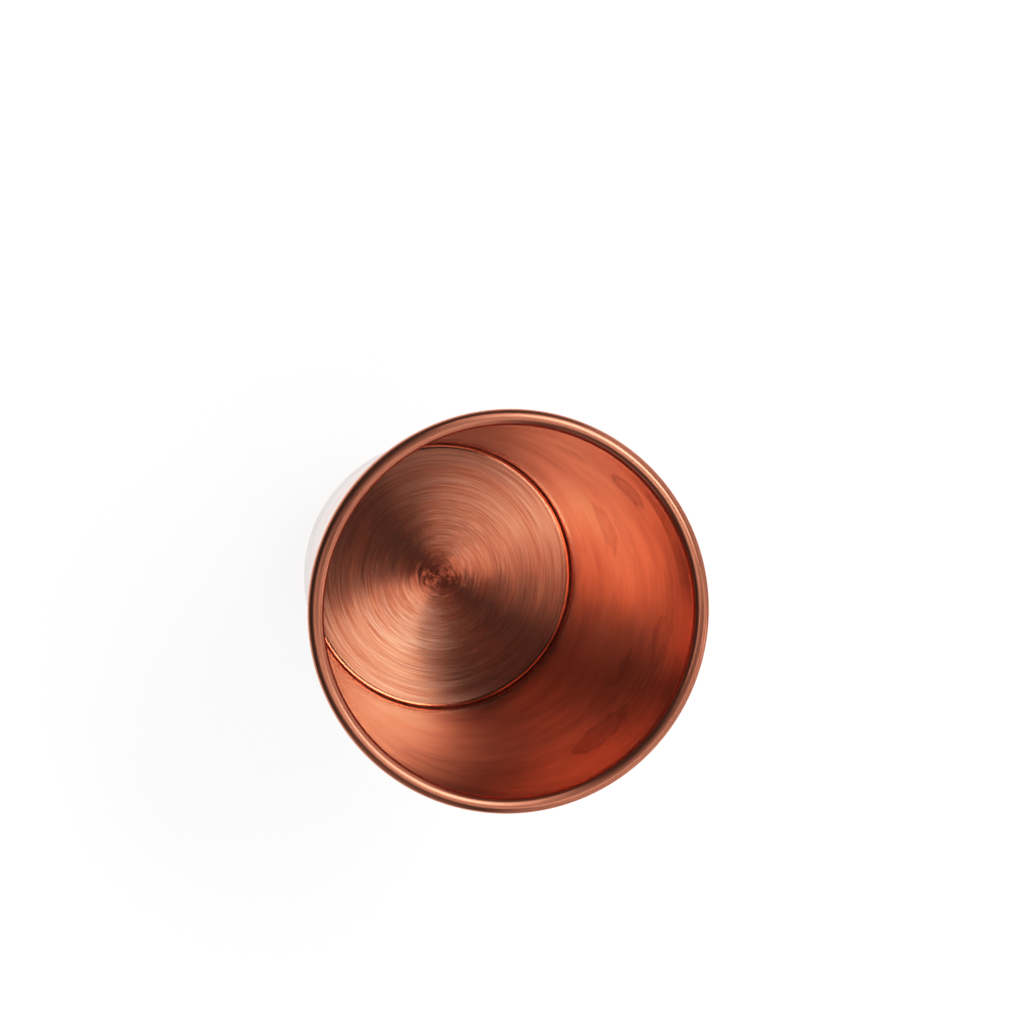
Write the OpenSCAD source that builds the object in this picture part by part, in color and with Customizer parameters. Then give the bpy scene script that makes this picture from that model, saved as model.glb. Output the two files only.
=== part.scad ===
// Bar jigger: one tapered copper cup of 60 ml, with a wired rim and a turned floor.
// The base stands on z = 0 and the Z axis is the axis of the cup.
// Every piece is a section drawn at x = radius, y = height, and turned round Z.

/* [Cup] */
// Diameter over the rim bead
rim_d = 45; // [42:0.5:48]
// Height from the base to the top of the rim bead
height = 58.1; // [50:0.1:64]
// Thickness of the copper sheet
sheet = 0.4; // [0.35:0.05:0.45]
// Inner diameter of the wall, level with the upper face of the floor
floor_bore = 32.5; // [32.5:0.1:33.2]
// Inner radius of the bend between the wall and the base flange
foot_bend = 0.8; // [0.7:0.02:0.82]
// Width of the flange turned in under the floor disc
flange_w = 3; // [2:0.1:5]

/* [Rim] */
// Diameter of the wire that the rim is curled round
wire_d = 1; // [0.8:0.05:1.2]
// Gap between the end of the curl and the outside of the wall
curl_gap = 0.12; // [0.08:0.01:0.2]

/* [Floor] */
// Diameter of the floor disc
floor_d = 32.2; // [31.8:0.1:32.2]
// Thickness of the floor disc
floor_t = 1; // [0.96:0.02:1.1]
// Radius of the disc's upper edge
floor_round = 0.2; // [0.16:0.02:0.22]
// Chamfer under the disc's edge, which clears the bend of the foot
floor_chamfer = 0.75; // [0.72:0.01:0.77]
// Depth of the braze below the disc's upper face
braze_drop = 0.25; // [0.22:0.01:0.4]

/* [Hidden] */
$fn = 180;

COPPER = "#b86a48";
TURNED_COPPER = "#a85f45";
WIRE = "#8f5a3c";
BRAZE = "#6b3524";

// The curl is one sheet thick all round the wire.
wire_r = wire_d / 2;
bead_r = wire_r + sheet;
bead_x = rim_d / 2 - bead_r;
bead_z = height - bead_r;
floor_z = sheet + floor_t;

// The wall's inner face runs from the edge of the floor to a tangent of the bead.
bead_run = [bead_x - floor_bore / 2, bead_z - floor_z];
taper = atan2(bead_run.x, bead_run.y) - asin(bead_r / norm(bead_run));

// The foot's bend is tangent to the wall's inner face and to the flange's upper face.
foot_z = sheet + foot_bend;
foot_x = floor_bore / 2 + ((foot_z - floor_z) * sin(taper) - foot_bend) / cos(taper);
wall_l = (bead_x - foot_x) * sin(taper) + (bead_z - foot_z) * cos(taper);

// Places the centre of the foot's bend at the origin.
module at_foot() {
    translate([foot_x, foot_z])
        children();
}

// The same, with Y up along the wall and X outward across the sheet.
module along_wall() {
    at_foot()
        rotate(-taper)
            children();
}

// Places the wire's centre at the origin, with the wall below it along -Y.
module at_bead() {
    along_wall()
        translate([foot_bend + bead_r, wall_l])
            children();
}

// The straight stretch of the wall, between the bend and the bead.
module wall_section() {
    along_wall()
        translate([foot_bend, 0])
            square([sheet, wall_l]);
}

// The sheet's edge, curled outward round the wire until it almost meets the wall.
module curl_section() {
    at_bead()
        difference() {
            circle(bead_r);
            circle(wire_r);
            translate([-wire_r, -2 * bead_r])
                square([curl_gap, 2 * bead_r]);
        }
}

// The bend of the foot: a ring, without the quarters that would stand proud inside.
module bend_section() {
    reach = 2 * (foot_bend + sheet);
    difference() {
        at_foot()
            circle(foot_bend + sheet);
        at_foot()
            circle(foot_bend);
        along_wall()
            translate([-reach, 0])
                square([reach + foot_bend, reach]);
        at_foot()
            translate([-reach, -foot_bend])
                square([reach, foot_bend + reach]);
    }
}

// The sheet turned in under the floor disc, which the cup stands on.
module flange_section() {
    translate([foot_x - flange_w, 0])
        square([flange_w, sheet]);
}

// The floor disc: rounded above, chamfered below.
module floor_section() {
    floor_r = floor_d / 2;
    translate([0, sheet])
        difference() {
            union() {
                square([floor_r - floor_round, floor_t]);
                square([floor_r, floor_t - floor_round]);
                translate([floor_r - floor_round, floor_t - floor_round])
                    circle(floor_round);
            }
            polygon([
                [floor_r - floor_chamfer, 0],
                [floor_r, floor_chamfer],
                [floor_r + floor_chamfer, 0]
            ]);
        }
}

// The space inside the foot, above the flange and below the straight wall.
module foot_cavity_section() {
    at_foot()
        circle(foot_bend);
    translate([0, sheet])
        square([foot_x, foot_bend]);
}

// The braze that joins the disc to the foot, below the groove round the disc.
module braze_section() {
    difference() {
        intersection() {
            foot_cavity_section();
            translate([0, sheet])
                square([rim_d, floor_t - braze_drop]);
        }
        floor_section();
    }
}

module cup_wall() {
    color(COPPER)
        rotate_extrude()
            union() {
                wall_section();
                curl_section();
                bend_section();
                flange_section();
            }
}

module rim_wire() {
    color(WIRE)
        rotate_extrude()
            at_bead()
                circle(wire_r);
}

module floor_disc() {
    color(TURNED_COPPER)
        rotate_extrude()
            floor_section();
}

module braze_ring() {
    color(BRAZE)
        rotate_extrude()
            braze_section();
}

cup_wall();
rim_wire();
floor_disc();
braze_ring();
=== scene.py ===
"""A copper bar jigger on a pale board, in soft studio light, seen from above.

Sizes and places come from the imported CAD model. Three of its four pieces are turned again
here as fine meshes, with the marks that spinning and turning leave in copper. The fourth, the
braze, stays as it is and gets its own material.
"""

import math
import random

import bpy
from mathutils import Matrix, Vector


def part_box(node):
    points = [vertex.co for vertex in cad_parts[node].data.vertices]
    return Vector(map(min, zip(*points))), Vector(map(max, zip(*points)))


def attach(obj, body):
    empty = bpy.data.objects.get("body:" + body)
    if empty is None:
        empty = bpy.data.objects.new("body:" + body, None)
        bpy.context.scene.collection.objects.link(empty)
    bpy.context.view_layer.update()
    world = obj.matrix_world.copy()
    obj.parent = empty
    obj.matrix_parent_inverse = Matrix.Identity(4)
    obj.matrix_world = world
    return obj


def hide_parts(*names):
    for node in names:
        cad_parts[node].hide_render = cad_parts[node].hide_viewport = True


MM = 0.001
MICRON = 0.001 * MM
SEGMENTS = 360
SHARP_ANGLE = math.radians(35)


# ---------------------------------------------------------------- sizes from the frame


def radius_of(box):
    """Outer radius of a turned piece."""
    return box[1].x


def middle_z(box):
    return (box[0].z + box[1].z) / 2


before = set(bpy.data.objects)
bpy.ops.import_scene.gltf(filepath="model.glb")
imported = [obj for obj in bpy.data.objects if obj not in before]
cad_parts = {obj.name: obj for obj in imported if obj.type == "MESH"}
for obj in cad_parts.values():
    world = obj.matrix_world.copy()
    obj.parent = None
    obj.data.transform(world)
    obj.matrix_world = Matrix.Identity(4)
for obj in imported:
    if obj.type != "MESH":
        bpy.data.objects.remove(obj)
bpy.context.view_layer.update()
WALL_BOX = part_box("cup_wall")
WIRE_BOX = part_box("rim_wire")
DISC_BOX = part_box("floor_disc")

WIRE_R = (WIRE_BOX[1].z - WIRE_BOX[0].z) / 2
BEAD_X = radius_of(WIRE_BOX) - WIRE_R
BEAD_Z = middle_z(WIRE_BOX)
BEAD_R = WALL_BOX[1].z - BEAD_Z
SHEET = BEAD_R - WIRE_R
DISC_R = radius_of(DISC_BOX)
DISC_Z = DISC_BOX[1].z

# Sizes that the boxes don't give, as the CAD model has them.
FOOT_BEND = 0.8 * MM
FLANGE_W = 3.0 * MM
FLOOR_BORE_R = 16.25 * MM
CURL_GAP = 0.12 * MM
DISC_ROUND = 0.2 * MM
DISC_CHAMFER = 0.75 * MM

# The disc's upper edge is burnished away over this width, as deep as the CAD model's round.
DISC_BURNISH = 0.6 * MM

# The wall's inner face is tangent to the bead, and the foot's bend to the wall.
RUN_X = BEAD_X - FLOOR_BORE_R
RUN_Z = BEAD_Z - DISC_Z
TAPER = math.atan2(RUN_X, RUN_Z) - math.asin(BEAD_R / math.hypot(RUN_X, RUN_Z))
FOOT_Z = SHEET + FOOT_BEND
FOOT_X = FLOOR_BORE_R + ((FOOT_Z - DISC_Z) * math.sin(TAPER) - FOOT_BEND) / math.cos(TAPER)

# The lathe tool's feed for each turn of the disc, and the steps in each pass's section.
FEED = 0.16 * MM
CUT_STEPS = 4


# ---------------------------------------------------------------- meshes


def arc(centre, radius, start, end, steps):
    """Points round a circle in the section, from start to end in radians."""
    points = []
    for i in range(steps + 1):
        angle = start + (end - start) * i / steps
        points.append((centre[0] + radius * math.cos(angle), centre[1] + radius * math.sin(angle)))
    return points


def line(start, end, steps):
    """Points strictly between two points of the section."""
    points = []
    for i in range(1, steps):
        t = i / steps
        points.append((start[0] + (end[0] - start[0]) * t, start[1] + (end[1] - start[1]) * t))
    return points


def turn(name, section, shape=None):
    """Turns a closed section (radius, height) round Z. shape may move each point a little."""
    rows = len(section)
    verts = []
    for step in range(SEGMENTS):
        angle = 2 * math.pi * step / SEGMENTS
        for x, z in section:
            if shape:
                x, z = shape(x, z, angle)
            verts.append((x * math.cos(angle), x * math.sin(angle), z))
    faces = []
    for step in range(SEGMENTS):
        here = step * rows
        there = (step + 1) % SEGMENTS * rows
        for row in range(rows):
            nxt = (row + 1) % rows
            faces.append((here + row, here + nxt, there + nxt, there + row))
    mesh = bpy.data.meshes.new(name)
    mesh.from_pydata(verts, [], faces)
    mesh.validate()
    mesh.shade_smooth()
    mesh.set_sharp_from_angle(angle=SHARP_ANGLE)
    piece = bpy.data.objects.new(name, mesh)
    bpy.context.scene.collection.objects.link(piece)
    return piece


def stand_for(piece, node, material):
    """The piece takes the CAD node's place, body and material slot."""
    piece.data.materials.append(material)
    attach(piece, "root")
    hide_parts(node)


def wall_section():
    """The sheet in section: up the inside, round the curl and back down the outside."""
    right = math.pi / 2
    bead = (BEAD_X, BEAD_Z)
    foot = (FOOT_X, FOOT_Z)
    half_slot = math.asin((WIRE_R - CURL_GAP) / BEAD_R)
    half_bore = math.asin((WIRE_R - CURL_GAP) / WIRE_R)
    outer_curl = arc(bead, BEAD_R, math.pi - TAPER, -right - half_slot - TAPER, steps=72)
    inner_curl = arc(bead, WIRE_R, -right - half_bore - TAPER, math.pi - TAPER, steps=36)
    outer_bend = arc(foot, FOOT_BEND + SHEET, -TAPER, -right, steps=16)
    inner_bend = arc(foot, FOOT_BEND, -right, -TAPER, steps=12)
    flange_in = (FOOT_X - FLANGE_W, 0.0)
    flange_top = (FOOT_X - FLANGE_W, SHEET)
    section = inner_bend + line(inner_bend[-1], outer_curl[0], steps=200) + outer_curl
    section += inner_curl + line(inner_curl[-1], outer_bend[0], steps=120) + outer_bend
    section += line(outer_bend[-1], flange_in, steps=6) + [flange_in, flange_top]
    section += line(flange_top, inner_bend[0], steps=6)
    return section


def ease(t):
    """Rises smoothly from 0 to 1 as t goes from 0 to 1."""
    t = max(0.0, min(1.0, t))
    return t * t * (3 - 2 * t)


def spun_shape(x, z, angle):
    """The spinner's roller leaves faint ridges up the wall, and the cup is a little uneven.

    The wall only ever moves inward, so that it stays inside the CAD model's. Moves are in microns.
    """
    above_foot = z - FOOT_Z
    below_bead = BEAD_Z - 1.2 * BEAD_R - z
    fade = ease(above_foot / (2 * MM)) * ease(below_bead / (4 * MM))
    coarse_ridge = 4.0 * math.sin(z / (0.36 * MM) + 0.6 * math.sin(angle))
    fine_ridge = 3.0 * math.sin(z / (0.17 * MM) + math.sin(2 * angle + 1.0))
    oval = 16.0 * math.sin(2 * angle + z / (9 * MM))
    three_sided = 10.0 * math.sin(3 * angle - z / (7 * MM))
    inward = coarse_ridge + fine_ridge + oval + three_sided + 33.0
    return x - inward * MICRON * fade, z


def disc_section():
    """The floor disc in section, from the axis over the top to the axis below."""
    top = DISC_Z
    bottom = DISC_BOX[0].z
    start = (0.02 * MM, top)
    rim = []
    for out, up in arc((0, 0), 1, math.pi / 2, 0, steps=16):
        rim.append((DISC_R - DISC_BURNISH * (1 - out), top - DISC_ROUND * (1 - up)))
    cuts = round(rim[0][0] / FEED) * CUT_STEPS
    section = [start] + line(start, rim[0], cuts) + rim
    section += [(DISC_R, bottom + DISC_CHAMFER), (DISC_R - DISC_CHAMFER, bottom)]
    section += line((DISC_R - DISC_CHAMFER, bottom), (start[0], bottom), steps=12)
    section += [(start[0], bottom)]
    return section


def turned_shape():
    """The tool's passes over the disc: one shallow scallop each, and no two equally deep."""
    rng = random.Random(11)
    depths = [rng.uniform(0.4, 3.2) for _ in range(round(DISC_R / FEED) + 2)]
    waves = [rng.uniform(0, 2 * math.pi) for _ in depths]
    last_cut = DISC_R - DISC_BURNISH - 0.05 * MM

    def shape(x, z, angle):
        if z < DISC_Z - MICRON or x > last_cut:
            return x, z
        cut = int(x / FEED)
        across = 2 * (x / FEED - cut) - 1
        depth = depths[cut] * (0.75 + 0.25 * math.sin(angle + waves[cut]))
        return x, z - depth * (1 - across * across) * MICRON

    return shape


def wire_section(sides=24):
    """The wire in section. Its last point stops one side short of its first."""
    full_turn = 2 * math.pi
    last = full_turn * (sides - 1) / sides
    return arc((BEAD_X, BEAD_Z), WIRE_R, 0, last, steps=sides - 1)


# ---------------------------------------------------------------- materials


class Graph:
    """A material's nodes, with short calls for the ones used here."""

    def __init__(self, name):
        self.material = bpy.data.materials.new(name)
        self.material.use_nodes = True
        self.nodes = self.material.node_tree.nodes
        self.links = self.material.node_tree.links
        self.shader = self.nodes["Principled BSDF"]

    def put(self, socket, value):
        """Links a socket's output, or sets a plain value."""
        if isinstance(value, bpy.types.NodeSocket):
            self.links.new(value, socket)
        else:
            socket.default_value = value

    def math(self, operation, a, b=0.0, c=0.0):
        node = self.nodes.new("ShaderNodeMath")
        node.operation = operation
        for socket, value in zip(node.inputs, (a, b, c)):
            self.put(socket, value)
        return node.outputs[0]

    def vector(self, operation, a, b=(0, 0, 0), c=(0, 0, 0)):
        node = self.nodes.new("ShaderNodeVectorMath")
        node.operation = operation
        for socket, value in zip(node.inputs, (a, b, c)):
            self.put(socket, value)
        return node.outputs["Value" if operation in ("LENGTH", "DISTANCE") else "Vector"]

    def where(self):
        """The place on the object, in metres."""
        return self.nodes.new("ShaderNodeTexCoord").outputs["Object"]

    def in_mm(self):
        return self.vector("MULTIPLY", self.where(), (1000, 1000, 1000))

    def places(self):
        """Radius and height in mm, and the direction outward from the axis."""
        in_mm = self.in_mm()
        flat = self.vector("MULTIPLY", in_mm, (1, 1, 0))
        split = self.nodes.new("ShaderNodeSeparateXYZ")
        self.links.new(in_mm, split.inputs[0])
        return self.vector("LENGTH", flat), split.outputs[2], self.vector("NORMALIZE", flat)

    def noise(self, where, scale=1.0, detail=2.0, roughness=0.5):
        node = self.nodes.new("ShaderNodeTexNoise")
        self.links.new(where, node.inputs["Vector"])
        node.inputs["Scale"].default_value = scale
        node.inputs["Detail"].default_value = detail
        node.inputs["Roughness"].default_value = roughness
        return node.outputs[0]

    def rings(self, along, outward, per_mm, spread, detail=2.0, roughness=0.5):
        """Noise drawn out round the axis, with per_mm rings to the millimetre.

        A larger spread breaks the rings into shorter arcs.
        """
        height = self.nodes.new("ShaderNodeCombineXYZ")
        self.links.new(self.math("MULTIPLY", along, per_mm), height.inputs[2])
        where = self.vector("MULTIPLY_ADD", outward, (spread, spread, spread), height.outputs[0])
        return self.noise(where, 1.0, detail, roughness)

    def remap(self, value, low, high, new_low, new_high, smooth=False):
        """Takes low to new_low and high to new_high, and holds the value between those."""
        node = self.nodes.new("ShaderNodeMapRange")
        node.interpolation_type = "SMOOTHSTEP" if smooth else "LINEAR"
        for socket, number in zip(node.inputs, (value, low, high, new_low, new_high)):
            self.put(socket, number)
        return node.outputs[0]

    def mix(self, factor, a, b):
        node = self.nodes.new("ShaderNodeMix")
        node.data_type = "RGBA"
        self.put(node.inputs["Factor"], factor)
        self.put(node.inputs["A"], a)
        self.put(node.inputs["B"], b)
        return node.outputs["Result"]

    def bump(self, height, depth_mm, normal=None):
        node = self.nodes.new("ShaderNodeBump")
        node.inputs["Strength"].default_value = 1.0
        node.inputs["Distance"].default_value = depth_mm * MM
        self.links.new(height, node.inputs["Height"])
        if normal:
            self.links.new(normal, node.inputs["Normal"])
        return node.outputs[0]

    def metal(self, colour, roughness, normal, anisotropic, wander=None):
        """Bare metal whose gloss is drawn out across the rings round the axis.

        wander turns the rings' own direction a little from place to place.
        """
        quarter_turn = 0.25
        self.put(self.shader.inputs["Base Color"], colour)
        self.put(self.shader.inputs["Roughness"], roughness)
        self.put(self.shader.inputs["Normal"], normal)
        self.shader.inputs["Metallic"].default_value = 1.0
        self.shader.inputs["Anisotropic"].default_value = anisotropic
        self.shader.inputs["Anisotropic Rotation"].default_value = quarter_turn
        tangent = self.nodes.new("ShaderNodeTangent")
        tangent.direction_type = "RADIAL"
        tangent.axis = "Z"
        along = tangent.outputs[0]
        if wander:
            outward = self.places()[2]
            aside = self.vector("MULTIPLY", outward, self.spread(wander))
            along = self.vector("NORMALIZE", self.vector("ADD", along, aside))
        self.links.new(along, self.shader.inputs["Tangent"])
        return self.material

    def spread(self, value):
        """One number as all three parts of a vector."""
        node = self.nodes.new("ShaderNodeCombineXYZ")
        for socket in node.inputs:
            self.links.new(value, socket)
        return node.outputs[0]


COPPER = (0.96, 0.51, 0.35, 1)
PALE_COPPER = (0.98, 0.61, 0.46, 1)
HIGHLIGHT_COPPER = (1.0, 0.72, 0.55, 1)
DULL_COPPER = (0.68, 0.30, 0.21, 1)
RIM_COPPER = (0.80, 0.34, 0.22, 1)
STAIN_AND_SHADE = (0.46, 0.18, 0.13, 1)
OXIDE = (0.20, 0.08, 0.055, 1)
# The grey that the outside is painted towards the foot.
FOOT_GREY = (0.40, 0.34, 0.32, 1)

# Stains inside the wall: azimuth in degrees, height and radius in mm, and strength.
WALL_STAINS = [
    (24, 25, 3.6, 0.5),
    (347, 45, 3.4, 0.5),
    (333, 35, 2.2, 0.6),
    (310, 44, 4.2, 0.75),
    (40, 47, 3.4, 0.6),
    (60, 40, 2.6, 0.4),
    (250, 42, 4.5, 0.3),
]

# Painted highlights on the inner wall, patches painted brighter and paler, given in the same way.
WALL_HIGHLIGHTS = [
    (250, 12, 6.0, 0.9),
    (30, 20, 4.0, 0.6),
]


def turned_copper():
    """The disc: fine turned rings, a duller swirl at the centre and a burnished edge, smoother and
    painted paler as a painted highlight.
    """
    graph = Graph("turned_copper")
    radius, _, outward = graph.places()
    broad = graph.rings(radius, outward, per_mm=0.8, spread=0.8, detail=2.0, roughness=0.5)
    middle = graph.rings(radius, outward, per_mm=3.0, spread=1.1, detail=2.0, roughness=0.55)
    fine = graph.rings(radius, outward, per_mm=9.0, spread=2.2, detail=1.5, roughness=0.55)
    sparse = graph.rings(radius, outward, per_mm=4.2, spread=1.6, detail=1.0)
    scored = graph.remap(sparse, 0.6, 0.68, 0, 1, smooth=True)
    centre = graph.remap(radius, 0.8, 4.5, 1, 0, smooth=True)
    burnished = (DISC_R - DISC_BURNISH) / MM
    edge = graph.remap(radius, burnished, burnished + 0.2, 0, 1, smooth=True)
    colour = graph.mix(graph.remap(broad, 0.35, 0.7, 0, 1), COPPER, PALE_COPPER)
    colour = graph.mix(graph.remap(fine, 0.42, 0.66, 0, 0.55), colour, DULL_COPPER)
    colour = graph.mix(graph.remap(middle, 0.45, 0.7, 0, 0.5), colour, DULL_COPPER)
    colour = graph.mix(graph.math("MULTIPLY", scored, 0.7), colour, PALE_COPPER)
    colour = graph.mix(graph.math("MULTIPLY", centre, 0.7), colour, DULL_COPPER)
    # Painted highlight: the burnished edge is painted paler, on top of its real lower roughness.
    colour = graph.mix(edge, colour, PALE_COPPER)
    roughness = graph.remap(middle, 0.3, 0.7, 0.32, 0.42)
    roughness = graph.math("MULTIPLY_ADD", centre, 0.12, roughness)
    roughness = graph.math("MULTIPLY", roughness, graph.remap(edge, 0, 1, 1, 0.3))
    normal = graph.bump(middle, depth_mm=0.012)
    normal = graph.bump(fine, depth_mm=0.005, normal=normal)
    swirl = graph.rings(radius, outward, per_mm=2.6, spread=2.0, detail=1.0)
    wander = graph.remap(graph.math("ADD", broad, middle), 0.6, 1.4, -0.2, 0.2)
    wander = graph.math("MULTIPLY_ADD", centre, graph.remap(swirl, 0.3, 0.7, -0.7, 0.7), wander)
    return graph.metal(colour, roughness, normal, anisotropic=0.97, wander=wander)


def on_wall(azimuth, height):
    """A point of the wall's inner face, in mm."""
    turn_z = math.radians(azimuth)
    reach = (FLOOR_BORE_R + (height * MM - DISC_Z) * math.tan(TAPER)) / MM
    return reach * math.cos(turn_z), reach * math.sin(turn_z), height


def painted_highlight_patches(graph, in_mm):
    """How bright the painted highlights make the wall: soft patches."""
    total = None
    for azimuth, height, size, strength in WALL_HIGHLIGHTS:
        away = graph.vector("DISTANCE", in_mm, on_wall(azimuth, height))
        patch = graph.remap(away, 0.3 * size, 1.5 * size, strength, 0, smooth=True)
        total = patch if total is None else graph.math("MAXIMUM", total, patch)
    return total


def stains(graph, in_mm):
    """How stained the wall is: dull patches with ragged, darker edges."""
    ragged = graph.noise(in_mm, scale=0.45, detail=4.0, roughness=0.6)
    total = None
    for azimuth, height, size, strength in WALL_STAINS:
        away = graph.vector("DISTANCE", in_mm, on_wall(azimuth, height))
        away = graph.math("MULTIPLY_ADD", ragged, 5.0, away)
        inside = graph.remap(away, size + 1.6, size + 2.6, 1, 0, smooth=True)
        line_in = graph.remap(away, size + 0.8, size + 2.0, 0.45, 1)
        patch = graph.math("MULTIPLY", graph.math("MULTIPLY", inside, line_in), strength)
        total = patch if total is None else graph.math("MAXIMUM", total, patch)
    return total


# Radius of the middle of the sheet, if the wall's slope ran on down to z = 0.
MID_WALL_R = FLOOR_BORE_R - DISC_Z * math.tan(TAPER) + SHEET / 2


def spun_copper():
    """The wall: broad soft rings and stains inside, painted highlights, painted shade under the
    bead and by the floor, and a duller rim.
    """
    graph = Graph("spun_copper")
    radius, height, outward = graph.places()
    top = BEAD_Z / MM
    floor = DISC_Z / MM
    broad = graph.rings(height, outward, per_mm=0.16, spread=1.7, detail=3.0, roughness=0.55)
    middle = graph.rings(height, outward, per_mm=1.3, spread=2.6, detail=3.0, roughness=0.6)
    fine = graph.rings(height, outward, per_mm=6.0, spread=4.0, detail=2.0, roughness=0.6)
    in_mm = graph.in_mm()
    stained = stains(graph, in_mm)
    mid_wall = graph.math("MULTIPLY_ADD", height, math.tan(TAPER), MID_WALL_R / MM)
    inside = graph.remap(graph.math("SUBTRACT", radius, mid_wall), -0.05, 0.05, 1, 0)
    rim = graph.remap(height, top - 0.75, top - 0.3, 0, 1, smooth=True)
    # Painted shade: a soft dark band painted on the wall below the bead.
    painted_bead_shade = graph.remap(height, top - 6.0, top - 0.9, 0, 0.8, smooth=True)
    # Painted shade: the inner wall just above the floor is painted darker, in the stain colour,
    # where the corner is.
    painted_corner_shade = graph.remap(height, floor + 0.2, floor + 2.6, 0.4, 0, smooth=True)
    painted_corner_shade = graph.math("MULTIPLY", painted_corner_shade, inside)
    colour = graph.mix(graph.remap(broad, 0.4, 0.68, 0, 0.8), COPPER, DULL_COPPER)
    colour = graph.mix(graph.remap(middle, 0.5, 0.8, 0, 0.6), colour, PALE_COPPER)
    # Painted highlights: patches of the inner wall painted brighter and paler.
    highlight_mask = graph.math("MULTIPLY", painted_highlight_patches(graph, in_mm), inside)
    colour = graph.mix(highlight_mask, colour, HIGHLIGHT_COPPER)
    colour = graph.mix(graph.math("MULTIPLY", stained, inside), colour, STAIN_AND_SHADE)
    colour = graph.mix(painted_bead_shade, colour, DULL_COPPER)
    colour = graph.mix(painted_corner_shade, colour, STAIN_AND_SHADE)
    colour = graph.mix(rim, colour, RIM_COPPER)
    # The outside is duller all over, and greyer from the foot up to a ragged line.
    colour = graph.mix(graph.remap(inside, 0, 1, 0.6, 0), colour, DULL_COPPER)
    ragged_height = graph.math("MULTIPLY_ADD", broad, 22.0, height)
    greyer_low = graph.remap(ragged_height, 16, 36, 0.85, 0, smooth=True)
    copper_shown = graph.math("MAXIMUM", inside, graph.math("SUBTRACT", 1.0, greyer_low))
    colour = graph.mix(copper_shown, FOOT_GREY, colour)
    roughness = graph.remap(broad, 0.3, 0.7, 0.08, 0.16)
    roughness = graph.math("MULTIPLY_ADD", stained, 0.15, roughness)
    roughness = graph.math("MULTIPLY_ADD", rim, 0.2, roughness)
    roughness = graph.math("MULTIPLY_ADD", painted_corner_shade, 0.3, roughness)
    normal = graph.bump(middle, depth_mm=0.007)
    normal = graph.bump(fine, depth_mm=0.001, normal=normal)
    return graph.metal(colour, roughness, normal, anisotropic=0.5)


def drawn_wire():
    """The rim's wire: dull, with fine marks drawn out along it."""
    graph = Graph("rim_wire")
    _, height, outward = graph.places()
    draw_marks = graph.rings(height, outward, per_mm=9.0, spread=1.0, detail=2.0)
    colour = graph.mix(graph.remap(draw_marks, 0.35, 0.65, 0, 1), DULL_COPPER, STAIN_AND_SHADE)
    roughness = graph.remap(draw_marks, 0.3, 0.7, 0.35, 0.5)
    normal = graph.bump(draw_marks, depth_mm=0.004)
    return graph.metal(colour, roughness, normal, anisotropic=0.4)


def dark_braze():
    """The braze in the groove round the disc: grainy, dark and oxidised in patches."""
    graph = Graph("braze")
    where = graph.where()
    grains = graph.noise(where, scale=2500.0, detail=4.0, roughness=0.6)
    patches = graph.noise(where, scale=260.0, detail=2.0)
    colour = graph.mix(graph.remap(patches, 0.4, 0.65, 0, 1), OXIDE, STAIN_AND_SHADE)
    graph.put(graph.shader.inputs["Base Color"], colour)
    graph.put(graph.shader.inputs["Roughness"], graph.remap(grains, 0.3, 0.7, 0.4, 0.65))
    graph.put(graph.shader.inputs["Normal"], graph.bump(grains, depth_mm=0.03))
    graph.shader.inputs["Metallic"].default_value = 1.0
    return graph.material


wall = turn("wall", wall_section(), spun_shape)
stand_for(wall, "cup_wall", spun_copper())
disc = turn("disc", disc_section(), turned_shape())
stand_for(disc, "floor_disc", turned_copper())
wire = turn("wire", wire_section())
stand_for(wire, "rim_wire", drawn_wire())
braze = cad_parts["braze_ring"]
braze.data.materials.clear()
braze.data.materials.append(dark_braze())


# ---------------------------------------------------------------- stage

# The middle of the cup's mouth, and how far from it every softbox is, in metres.
MOUTH = Vector((0, 0, WALL_BOX[1].z))
LIGHT_REACH = 1.2

# Each softbox: azimuth and elevation from the mouth, width and height in metres, power in watts.
SOFTBOXES = {
    "key": (38, 62, 0.62, 0.32, 2.9),
    "key_high": (32, 75, 0.26, 0.22, 0.2),
    "top": (252, 75, 0.32, 0.30, 0.62),
    "top_right": (290, 62, 0.35, 0.30, 0.4),
    "left": (190, 62, 0.70, 0.30, 0.7),
    "back": (70, 47, 1.0, 0.30, 1.4),
    "side": (325, 47, 1.3, 0.30, 1.6),
    "low_front": (315, 10, 1.8, 0.40, 2.4),
    "low_right": (20, 10, 1.8, 0.40, 2.2),
    "low_left": (245, 10, 0.9, 0.40, 0.5),
}

BOARD_SIZE = 0.3
BOARD_GLOW = 0.82
PAPER = (0.40, 0.40, 0.40, 1)
PALE_PAPER = (0.44, 0.44, 0.44, 1)
WHITE = (1, 1, 1, 1)

# How bright the room is for the things in it, and where the camera sees it.
ROOM_LIGHT = 0.05
ROOM_SEEN = 1.1

# The lens and the sensor's width in mm, and the camera's place and aim.
LENS = 171.2
SENSOR = 36
CAMERA_AT = Vector((-82.02, 42.53, 588.67)) * MM
CAMERA_AIM = Vector((0.28, 11.06, 57.2)) * MM

# Points of the view's contrast curve: the shade, and the shade it is shown as.
PRINT_CURVE = ((0.08, 0.05), (0.3, 0.29), (0.6, 0.66))


def softbox(name, azimuth, elevation, width, height, power):
    """An area light that faces the middle of the cup's mouth."""
    data = bpy.data.lights.new(name, "AREA")
    data.shape = "RECTANGLE"
    data.size = width
    data.size_y = height
    data.energy = power
    lamp = bpy.data.objects.new(name, data)
    bpy.context.scene.collection.objects.link(lamp)
    turn_z = math.radians(azimuth)
    tilt = math.radians(elevation)
    flat = Vector((math.cos(turn_z), math.sin(turn_z), 0))
    outward = flat * math.cos(tilt) + Vector((0, 0, math.sin(tilt)))
    lamp.location = MOUTH + outward * LIGHT_REACH
    lamp.rotation_euler = outward.to_track_quat("Z", "Y").to_euler()


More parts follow.
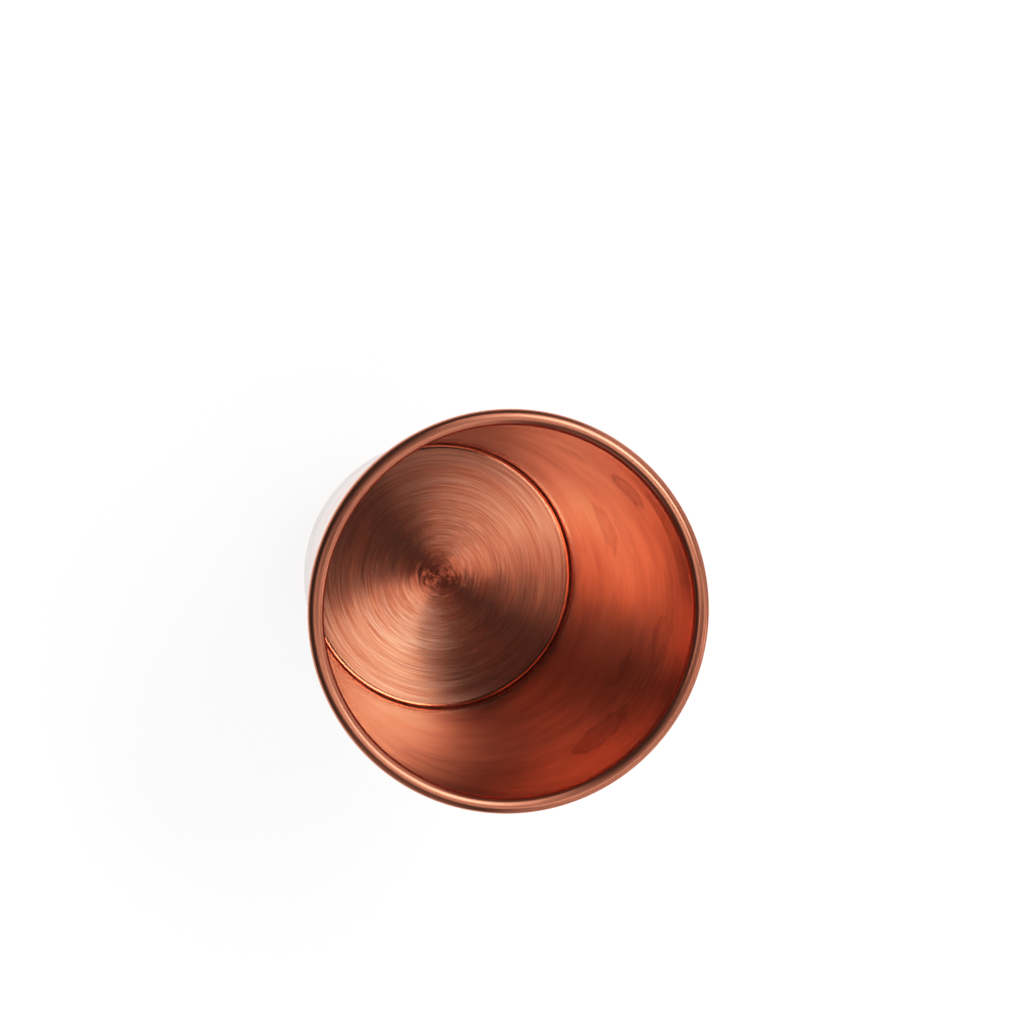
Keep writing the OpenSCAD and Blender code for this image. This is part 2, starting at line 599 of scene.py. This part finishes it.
def board():
    """A pale board under the cup, which glows a little so that it looks white."""
    bpy.ops.mesh.primitive_plane_add(size=BOARD_SIZE)
    plane = bpy.context.object
    plane.name = "board"
    graph = Graph("board")
    grain = graph.noise(graph.where(), scale=900.0, detail=3.0)
    graph.put(graph.shader.inputs["Base Color"], graph.mix(grain, PAPER, PALE_PAPER))
    graph.shader.inputs["Roughness"].default_value = 0.8
    graph.shader.inputs["Emission Color"].default_value = WHITE
    graph.shader.inputs["Emission Strength"].default_value = BOARD_GLOW
    plane.data.materials.append(graph.material)


def studio():
    """A dim room that looks pale where the camera sees it past the board."""
    world = bpy.data.worlds.new("studio")
    bpy.context.scene.world = world
    world.use_nodes = True
    nodes = world.node_tree.nodes
    links = world.node_tree.links
    seen = nodes.new("ShaderNodeLightPath").outputs["Is Camera Ray"]
    shade = nodes.new("ShaderNodeMapRange")
    links.new(seen, shade.inputs["Value"])
    shade.inputs["To Min"].default_value = ROOM_LIGHT
    shade.inputs["To Max"].default_value = ROOM_SEEN
    links.new(shade.outputs[0], nodes["Background"].inputs["Strength"])
    nodes["Background"].inputs["Color"].default_value = WHITE


def camera():
    """The camera, with the Y axis upright in its view."""
    data = bpy.data.cameras.new("camera")
    data.lens = LENS
    data.sensor_width = SENSOR
    data.clip_start = 0.01
    cam = bpy.data.objects.new("camera", data)
    bpy.context.scene.collection.objects.link(cam)
    forward = (CAMERA_AIM - CAMERA_AT).normalized()
    right = forward.cross(Vector((0, 1, 0))).normalized()
    up = right.cross(forward)
    turned = Matrix((right, up, -forward)).transposed().to_4x4()
    cam.matrix_world = Matrix.Translation(CAMERA_AT) @ turned
    bpy.context.scene.camera = cam


def print_curve(view):
    """A little more contrast, as a printed picture has: deeper shade, and the white kept."""
    view.use_curve_mapping = True
    curve = view.curve_mapping.curves[3]
    for shade, shown in PRINT_CURVE:
        curve.points.new(shade, shown)
    view.curve_mapping.update()


board()
studio()
camera()
for name, settings in SOFTBOXES.items():
    softbox(name, *settings)
scene = bpy.context.scene
scene.view_settings.view_transform = "Standard"
print_curve(scene.view_settings)
scene.cycles.glossy_bounces = 10
scene.cycles.max_bounces = 14
